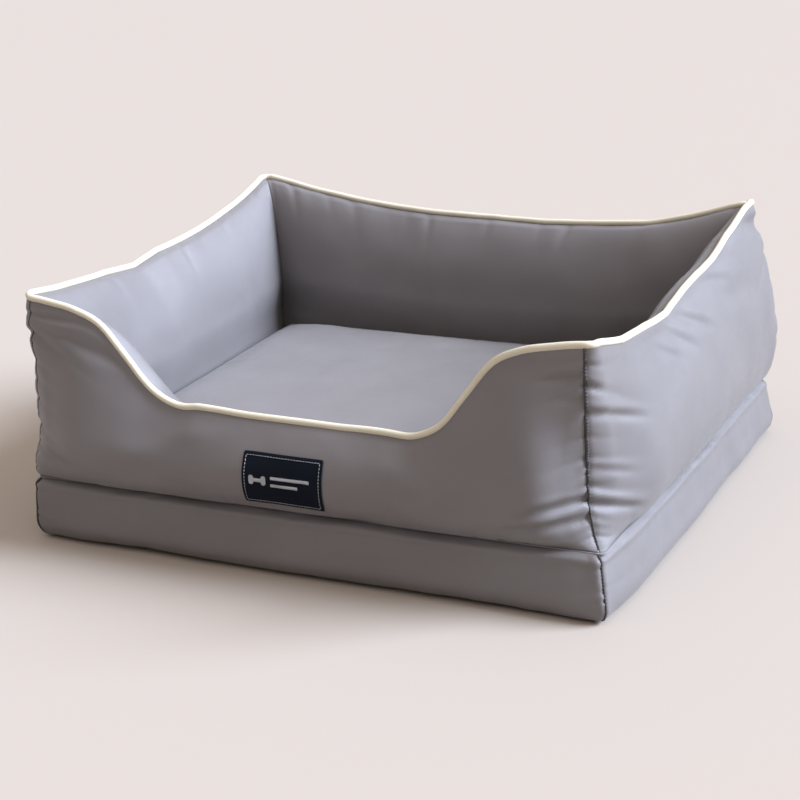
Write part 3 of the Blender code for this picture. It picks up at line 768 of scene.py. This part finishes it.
lift = drawn_up(to_seam, down_slope, 3.1, 0.024, 0.022, 0.0030)
lift += drawn_up(to_seam, down_slope, 8.6, 0.009, 0.0085, 0.0017)
lift += drawn_up(below_rim, walk, 7.7, 0.007, 0.017, 0.0008)
lift += drawn_up(above_foot, walk, 5.2, 0.010, 0.032, 0.0016)
lift += 0.0022 * cloudy(outer_skin * [1, 1, 1.6], 11, 2.5) + 0.0006 * cloudy(outer_skin, 30, 5.5)
lift -= 0.0010 * np.exp(-((to_seam / 0.0030) ** 2))
for number, (side, folds) in enumerate(FOLDS.items()):
    columns = slice(outer_starts[number], outer_starts[number + 1])
    piece = outer_skin[columns]
    for ends, width, depth in folds:
        lift[columns] += fold(piece[..., 1 if SIDES[side][0] else 0], piece[..., 2], ends, width, depth)
lift *= smooth_step(0, 0.012, np.minimum(above_foot, below_rim))
# The label holds the cloth flat behind it.
label_low, label_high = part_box("label_patch")
label_x, label_z = (label_low.x + label_high.x) / 2, (label_low.z + label_high.z) / 2
from_label = (outer_skin - [label_x, 0, label_z]) / [0.048, 1, 0.030]
behind_label = np.exp(-(from_label[..., 0] ** 4) - from_label[..., 2] ** 4)
lift *= 1 - 0.9 * behind_label * (outer_skin[..., 1] < 0)
outer_skin = outer_skin + face_normals(outer_skin, ring=True) * lift[..., None]
outer_ring = np.concatenate([outer_skin, outer_skin[:1]])
for number, side in enumerate(SIDES):
    grid = outer_ring[outer_starts[number] : outer_starts[number + 1] + 1]
    panel = add_panel(f"{side}_outer_cloth", grid, taupe_cloth, smooth=0)
    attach(panel, "cover")
    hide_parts(f"{side}_outer_panel", f"{side}_wall_filling")


# --- The upright corner seams -------------------------------------------------------------------------------
# The front, side and back panels are sewn together in upright seams at the corners. A near-black cord in each
# seam's groove, and at each corner of the base, is painted shade. The front left cord is finer and sunk in,
# so that less of it shows.


def make_thread(name, dark, light):
    material, tree, shader = start_material(name, light, 0.8)
    cloud_colour(tree, shader, 900, 2, dark, light)
    place = add_node(tree, "ShaderNodeUVMap", uv_map="cut")
    twist = add_node(tree, "ShaderNodeTexWave", bands_direction="DIAGONAL", in_Scale=70.0, in_Distortion=1.0)
    tree.links.new(place.outputs["UV"], twist.inputs["Vector"])
    add_bump(tree, shader, twist.outputs["Fac"], 0.0003)
    return material


# The seam cord's colour is painted shade: near black, much darker than the cloth, where the grooves fall
# dark.
seam_groove_shade = make_thread("seam_groove_shade", (0.030, 0.026, 0.026), (0.070, 0.062, 0.060))


def add_tube(name, path, radii, material, around_steps=12, closed=True):
    """A round tube along a path, with its length and girth as its UVs."""
    forward = np.roll(path, -1, axis=0) - np.roll(path, 1, axis=0) if closed else np.gradient(path, axis=0)
    forward /= np.linalg.norm(forward, axis=1, keepdims=True)
    level_way = [0, 0, 1] if np.abs(forward[:, 2]).mean() < 0.7 else [1, 0, 0]
    side_way = np.cross(forward, level_way)
    side_way /= np.linalg.norm(side_way, axis=1, keepdims=True)
    up_way = np.cross(side_way, forward)
    angles = np.arange(around_steps) * 2 * math.pi / around_steps
    spokes = np.cos(angles)[:, None] * side_way[:, None] + np.sin(angles)[:, None] * up_way[:, None]
    rings = path[:, None] + spokes * radii[:, None, None]
    count = len(path)
    ids = np.arange(count * around_steps).reshape(count, around_steps)
    ahead = np.roll(ids, -1, axis=0) if closed else ids[1:]
    here = ids if closed else ids[:-1]
    turned = np.stack([here, np.roll(here, -1, axis=1), np.roll(ahead, -1, axis=1), ahead], -1)
    faces = turned.reshape(-1, 4)[:, ::-1].tolist()
    if not closed:
        faces += [ids[0].tolist(), ids[-1, ::-1].tolist()]
    mesh = bpy.data.meshes.new(name)
    mesh.from_pydata(rings.reshape(-1, 3).tolist(), [], faces)
    cut = np.stack(np.meshgrid(walked(path), angles * radii.mean(), indexing="ij"), -1).reshape(-1, 2)
    layer = mesh.uv_layers.new(name="cut")
    layer.data.foreach_set("uv", cut[np.concatenate(faces)].astype(np.float32).ravel())
    return add_piece(name, mesh, material)


def add_seam(name, path, radii, sink):
    """A near-black cord along a seam's groove, as painted shade, that swells and narrows in even steps along
    it.
    """
    steps = np.arange(0, walked(path)[-1], 0.0006)
    smooth = np.stack([np.interp(steps, walked(path), path[:, axis]) for axis in range(3)], -1)
    inward = smooth * [1, 1, 0]
    inward /= np.linalg.norm(inward, axis=1, keepdims=True)
    swell = 1 + 0.20 * np.sin(steps / 0.0028 * 2 * math.pi)
    girth = np.interp(steps / steps[-1], np.linspace(0, 1, len(radii)), radii)
    seam = add_tube(name, smooth - inward * sink, girth * swell, seam_groove_shade, 8, closed=False)
    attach(seam, "cover")


wide_seam, fine_seam = [0.0007, 0.0009, 0.0016, 0.0017, 0.0016, 0.0014], [0.0005, 0.0007, 0.0007, 0.0006]
# Painted shade: a near-black cord down each upright wall seam and each corner of the base.
for corner, start in zip(CORNERS, outer_starts):
    radii, sink = (fine_seam, 0.0002) if corner == "front_left" else (wide_seam, -0.0005)
    add_seam(f"{corner}_wall_seam_shade", outer_skin[start, 1:-1], radii, sink)
base_corners = (("front", 0), ("front", 1), ("right", 1), ("left", 0))
for corner, (side, share) in zip(CORNERS, base_corners):
    up = np.linspace(0.14, 0.985, 60)
    add_seam(f"{corner}_base_seam_shade", band_point(side, share + 0 * up, up), [0.0008, 0.0010, 0.0010], 0.0004)


# --- The walls' inner panels --------------------------------------------------------------------------------
# Four panels that face the nest, sewn to the piping at the rim, to the deck at the foot, and to each other in
# the inner corners.

INNER_FOOT = 0.049


def inner_point(side, share, up):
    """Points of the inner skin: share along the side's panel, up from the deck to the rim."""
    slim = rim_inset + 0.0014
    out_x = SIDES[side][0]
    from_corner = np.minimum(share, 1 - share) * 2 * ((half_y if out_x else half_x) - 0.03)
    # The stuffing rolls furthest over the nest in the middle of the right side.
    squareness = 0.55 - (0.17 if out_x > 0 else 0.05) * smooth_step(0.01, 0.13, from_corner)
    inset = slim + (INNER_FOOT - slim) * (1 - up**2.3) ** squareness
    inset -= 0.010 * (1 - smooth_step(0.20, 0.46, up)) + 0.009 * np.exp(-from_corner / 0.016) * (1 - up**3)
    radius = 0.0035 + (RIM_TURN - 0.0049) * up**9
    rim_radius = RIM_TURN - 0.0014
    rim_x, rim_y = side_path(side, share, slim + 0 * up, rim_radius, rim_radius * math.pi / 4)
    top = rim_level(rim_x, rim_y) - 0.0012
    x, y = side_path(side, share, inset, radius, radius * math.pi / 4)
    return np.stack([x, y, wall_foot + (top - wall_foot) * up], -1)


# The rows run down from the rim, so that the skin faces the nest.
rows_down = graded(0.180, 0.0028, 0.0068, 0.022)[::-1]
inner_grid, inner_starts = lay_ring(inner_point, rows_down, 0.003, 0.0066, 0.022, 0.03)
_, to_corner = seam_distances(inner_grid, inner_starts)
below_rim = from_row(inner_grid, 0)
sewn = np.zeros(inner_grid.shape[:2])
sewn[:, 0] = sewn[:, -1] = 1
sewn[inner_starts[:-1]] = 1
gathered = np.maximum(np.exp(-below_rim / 0.006), 0.5 * np.exp(-to_corner[:, None] / 0.006))
inner_skin = stuffed("inner_skin", inner_grid, sewn, gathered, extra=0.001, pressure=1.8, most=0.008)
inner_skin = finer(inner_skin, ring=True)
inner_starts = [2 * start for start in inner_starts]
walk, to_corner = seam_distances(inner_skin, inner_starts)
walk = walk[:, None] + 0 * inner_skin[..., 0]
below_rim = from_row(inner_skin, 0)
lift = drawn_up(below_rim, walk, 12.4, 0.011, 0.026, 0.0024)
lift += drawn_up(below_rim, walk, 14.9, 0.006, 0.011, 0.0008)
lift += 0.0026 * cloudy(inner_skin, 9, 6.5) + 0.0009 * cloudy(inner_skin, 24, 9.5)
lift *= smooth_step(0, 0.010, below_rim) * smooth_step(0, 0.012, to_corner)[:, None]
inner_skin = inner_skin + face_normals(inner_skin, ring=True) * lift[..., None]
inner_ring = np.concatenate([inner_skin, inner_skin[:1]])
for number, side in enumerate(SIDES):
    grid = inner_ring[inner_starts[number] : inner_starts[number + 1] + 1].copy()
    # Where two walls press together in a corner, each stops at the crease.
    end, out = (1, 0) if SIDES[side][0] else (0, 1)
    over = (half_x, half_y)[out] - np.abs(grid[..., out]) - ((half_x, half_y)[end] - np.abs(grid[..., end]))
    grid[..., end] -= np.sign(grid[..., end]) * np.clip(over, 0, 0.02)
    panel = add_panel(f"{side}_inner_cloth", grid, taupe_cloth, smooth=0)
    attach(panel, "cover")
    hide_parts(f"{side}_inner_panel")


# --- The rim piping -----------------------------------------------------------------------------------------
# A soft cord in a bias strip of cream cloth, sewn between the outer and inner panels in one run round the
# rim. The needle pulls it a little off its line here and there.

cream_cloth = make_cloth("cream_cloth", (0.60, 0.54, 0.40), (0.67, 0.61, 0.465), 0.6, 0.1, 2200)
piping_parts = []
for side, (out_x, out_y) in SIDES.items():
    shares = graded(2 * (half_y if out_x else half_x), 0.0020, 0.005, 0.03)[:-1]
    x, y = side_path(side, shares, rim_inset, RIM_TURN, RIM_TURN * math.pi / 4)
    piping_parts.append(np.stack([x, y, rim_level(x, y)], -1))
piping_path = np.concatenate(piping_parts)
piping_walk = walked(piping_path)
wobble = np.array([noise.noise_vector(Vector((step * 30, 5.0, 2.0))) for step in piping_walk])
radii = np.full(len(piping_path), PIPING_RADIUS)
piping = add_tube("rim_piping", piping_path + 0.0006 * wobble, radii, cream_cloth)
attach(piping, "cover")
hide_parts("piping")


# --- The label ----------------------------------------------------------------------------------------------
# A woven navy patch sewn to the front with a dashed line of pale thread. It carries a plain bone and two
# bars, filled with the same thread.

front_sheet = outer_ring[outer_starts[0] : outer_starts[1] + 1]
front_surface = bvhtree.BVHTree.FromPolygons(
    front_sheet.reshape(-1, 3).tolist(), grid_faces(*front_sheet.shape[:2]).tolist()
)


def on_front(x, z, proud):
    """The point on the front wall's cloth at x, z, stood proud of it. The lower right corner curls away."""
    hit = front_surface.ray_cast(Vector((x, -1, z)), Vector((0, 1, 0)))[0]
    into_corner = max(0, x - label_high.x + 0.016) + max(0, label_low.z + 0.014 - z)
    curl = 0.0022 * max(0, into_corner / 0.03 - 0.35) ** 1.5 if x > label_high.x - 0.016 else 0
    return (x, hit.y - proud - curl, z)


def woven_patch():
    grid = [
        [on_front(x, z, 0.0011) for z in np.linspace(label_low.z, label_high.z, 16)]
        for x in np.linspace(label_low.x, label_high.x, 28)
    ]
    # A light weight of smoothing lets the patch bridge the wall's small gathers.
    grid = np.array(grid)
    for _ in range(6):
        inner = (grid[:-2, 1:-1, 1] + grid[2:, 1:-1, 1] + grid[1:-1, :-2, 1] + grid[1:-1, 2:, 1]) / 4
        grid[1:-1, 1:-1, 1] = np.minimum(grid[1:-1, 1:-1, 1], inner)
    return grid


navy_cloth = make_cloth(
    "navy_cloth", (0.0012, 0.0032, 0.0085), (0.002, 0.005, 0.012), 0.75, 0, 2400, shine=0.15
)
pale_thread = make_thread("pale_thread", (0.70, 0.71, 0.72), (0.86, 0.87, 0.87))
label_grid = woven_patch()
label = add_panel("label_cloth", label_grid, navy_cloth, thick=0.0008)
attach(label, "cover")
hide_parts("label_patch")
label_surface = bvhtree.BVHTree.FromPolygons(
    label_grid.reshape(-1, 3).tolist(), grid_faces(*label_grid.shape[:2]).tolist()
)


def on_label(x, z, proud):
    hit = label_surface.ray_cast(Vector((x, -1, z)), Vector((0, 1, 0)))[0]
    return (x, hit.y - proud, z)


def add_threads(name, stitches, girth):
    """Stitches of pale thread on the label, each a rounded spindle between its two ends."""
    threads = bmesh.new()
    for start, end in stitches:
        near, far = Vector(on_label(*start, girth / 2)), Vector(on_label(*end, girth / 2))
        place = (far - near).to_track_quat("Z", "Y").to_matrix().to_4x4()
        place.translation = (near + far) / 2
        spindle = Matrix.Diagonal((girth, girth, (far - near).length / 2 + girth / 2, 1))
        bmesh.ops.create_uvsphere(threads, u_segments=6, v_segments=5, radius=1, matrix=place @ spindle)
    mesh = bpy.data.meshes.new(name)
    threads.to_mesh(mesh)
    threads.free()
    mesh.uv_layers.new(name="cut")
    made = add_piece(name, mesh, pale_thread)
    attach(made, "cover")


def dashes(start, end, dash=0.0018, pitch=0.0028):
    """A running stitch between two points, as a list of dashes."""
    (start_x, start_z), (end_x, end_z) = start, end
    length = math.hypot(end_x - start_x, end_z - start_z)
    way = Vector(((end_x - start_x) / length, (end_z - start_z) / length))
    count = int(length / pitch)
    firsts = [Vector(start) + way * (number + 0.2) * length / count for number in range(count)]
    return [(tuple(first), tuple(first + way * dash)) for first in firsts]


def satin(low_x, high_x, middle_z, half_height, spacing=0.0005):
    """Upright threads side by side that fill a shape, whose half height at x is half_height(x)."""
    steps = np.arange(low_x, high_x, spacing)
    return [((x, middle_z - half_height(x)), (x, middle_z + half_height(x))) for x in steps]


def bone_half_height(from_middle):
    knob = BONE_KNOB**2 - (abs(from_middle) - BONE_HALF) ** 2
    return max(BONE_SHAFT, BONE_SPREAD + math.sqrt(max(knob, 0))) if knob > 0 else BONE_SHAFT


HEM = 0.0030
low_x, low_z, high_x, high_z = label_low.x + HEM, label_low.z + HEM, label_high.x - HEM, label_high.z - HEM
hem_corners = [(low_x, low_z), (high_x, low_z), (high_x, high_z), (low_x, high_z)]
hem = []
for number, corner in enumerate(hem_corners):
    hem += dashes(hem_corners[number - 1], corner)
add_threads("label_hem_stitches", hem, 0.00030)
BONE_HALF, BONE_KNOB, BONE_SPREAD, BONE_SHAFT = 0.0060, 0.0024, 0.0020, 0.0016
bone_x = label_x - 0.0235
bone = satin(bone_x - 0.0080, bone_x + 0.0082, label_z, lambda x: bone_half_height(x - bone_x))
add_threads("label_bone", bone, 0.00036)
for name, z, end in (("label_upper_bar", 0.0032, 0.027), ("label_lower_bar", -0.0032, 0.016)):
    add_threads(name, satin(label_x - 0.010, label_x + end, label_z + z, lambda x: 0.0013), 0.00036)


# --- The seat cushion ---------------------------------------------------------------------------------------
# A loose box cushion that fills the nest: top and bottom panels, a boxing strip round the front and sides,
# and two narrow strips at the back that lean in to a sunken zip.

seat_low, seat_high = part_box("cushion_boxing")
seat = (seat_high.x, -seat_low.y)
seat_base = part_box("cushion_bottom_panel")[0].z
SEAT_TURN = 0.008
seat_foot = seat_base + 0.0012
SEAT_ZIP_SINK, SEAT_ZIP_HALF, SEAT_ZIP_OPENING = 0.0072, 0.211, 0.0056


def seat_plan(across, back):
    """Plan points of the cushion's panels, their corners drawn in to the turn of the boxing."""
    x, y = across * seat[0], back * seat[1]
    far_x, far_y = np.abs(x) - (seat[0] - SEAT_TURN), np.abs(y) - (seat[1] - SEAT_TURN)
    far = np.hypot(far_x, far_y)
    share = np.where((far_x > 0) & (far_y > 0) & (far > SEAT_TURN), SEAT_TURN / np.maximum(far, 1e-9), 1)
    return x - np.sign(x) * far_x * (1 - share), y - np.sign(y) * far_y * (1 - share)


steps = [2 * graded(2 * half, 0.003, 0.0068, 0.03) - 1 for half in seat]
across, back = np.meshgrid(*steps, indexing="ij")
x, y = seat_plan(across, back)
dome = np.clip((1 - np.abs(across) ** 4) * (1 - np.abs(back) ** 4), 0, 1) ** 0.38
top_grid = np.stack([x, y, seat_high.z + 0.0135 * dome], -1)
edge = np.minimum((1 - np.abs(across)) * seat[0], (1 - np.abs(back)) * seat[1])
sewn = (edge < 1e-6).astype(float)
gathered = np.exp(-edge / 0.006)
top_grid = stuffed("seat_skin", top_grid, sewn, gathered, extra=0.004, pressure=1.0, most=0.004, ring=False)
top_grid = finer(top_grid)
fine_edge = finer(edge[..., None])[..., 0]
flat = top_grid * [1, 1, 0]
dents = 0.0035 * cloudy(flat, 7, 4.0) + 0.0012 * cloudy(flat, 19, 8.0)
top_grid[..., 2] += dents * smooth_step(0, 0.03, fine_edge)
at_sides = np.abs(flat[..., 0]) / seat[0] > np.abs(flat[..., 1]) / seat[1]
walk = np.where(at_sides, flat[..., 1], flat[..., 0] + 3)
puckers = drawn_up(fine_edge, walk, 16.2, 0.010, 0.024, 0.0014)
top_grid[..., 2] += puckers * smooth_step(0, 0.006, fine_edge)
seat_top = add_panel("seat_cushion_top", top_grid, taupe_cloth, smooth=0)
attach(seat_top, "cushion")
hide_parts("cushion_top_panel", "cushion_filling")

bottom_grid = np.stack([x, y, seat_foot - 0.0006 * dome], -1)[:, ::-1]
seat_bottom = add_panel("seat_cushion_bottom", bottom_grid, lining_cloth, smooth=0)
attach(seat_bottom, "cushion")
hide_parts("cushion_bottom_panel")


def boxing_point(side, share, up):
    """Points of the boxing strip: share along a side, up from the bottom seam to the top seam."""
    bulge = 0.0022 * np.sin(math.pi * up) ** 0.8
    x, y = side_path(side, share, -bulge, SEAT_TURN + 0 * up, SEAT_TURN * math.pi / 4, seat)
    return np.stack([x, y, seat_foot + (seat_high.z - seat_foot) * up], -1)


def add_boxing(name, grid, seed, nodes, calm=1):
    edge = np.minimum(from_row(grid, 0), from_row(grid, -1))
    lift = drawn_up(edge, walked(grid[:, 0])[:, None] + 0 * edge, seed, 0.006, 0.013, 0.0007)
    lift *= smooth_step(0, 0.004, edge) * calm
    strip = add_panel(name, grid + face_normals(grid) * lift[..., None], taupe_cloth, smooth=0)
    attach(strip, "cushion")
    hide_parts(*nodes)


for number, side in enumerate(("front", "right", "left")):
    shares = graded(2 * seat[0 if side == "front" else 1], 0.003, 0.006, 0.03)
    share, up = np.meshgrid(shares, np.linspace(0, 1, 13), indexing="ij")
    grid = finer(boxing_point(side, share, up))
    add_boxing(f"seat_{side}_boxing", grid, 40.2 + number, ["cushion_boxing"])

shares = graded(2 * seat[0], 0.003, 0.006, 0.03)
for half, sign in (("upper", 1), ("lower", -1)):
    share, way = np.meshgrid(shares, np.linspace(0, 1, 7), indexing="ij")
    grid = boxing_point("back", share, 0.5 + sign * 0.5 * way)
    middle = (seat_foot + seat_high.z) / 2
    from_middle = np.abs(grid[..., 0])
    closed = smooth_step(SEAT_ZIP_HALF - 0.006, SEAT_ZIP_HALF + 0.002, from_middle)
    opening = ZIP_CLOSED + (SEAT_ZIP_OPENING - ZIP_CLOSED) * (1 - closed)
    sink = SEAT_ZIP_SINK * (1 - smooth_step(SEAT_ZIP_HALF - 0.004, SEAT_ZIP_HALF + 0.012, from_middle))
    seam_level = middle + sign * (seat_high.z - middle)
    grid[..., 2] = seam_level + (middle + sign * opening - seam_level) * (1 - way)
    grid[..., 1] = seat[1] - sink * (1 - way)
    grid = finer(grid if sign > 0 else grid[:, ::-1])
    add_boxing(f"seat_back_{half}_strip", grid, 47.3, [f"cushion_zip_strip_{half}"], calm=0.5)

finish_zip("cushion_zip", "cushion")
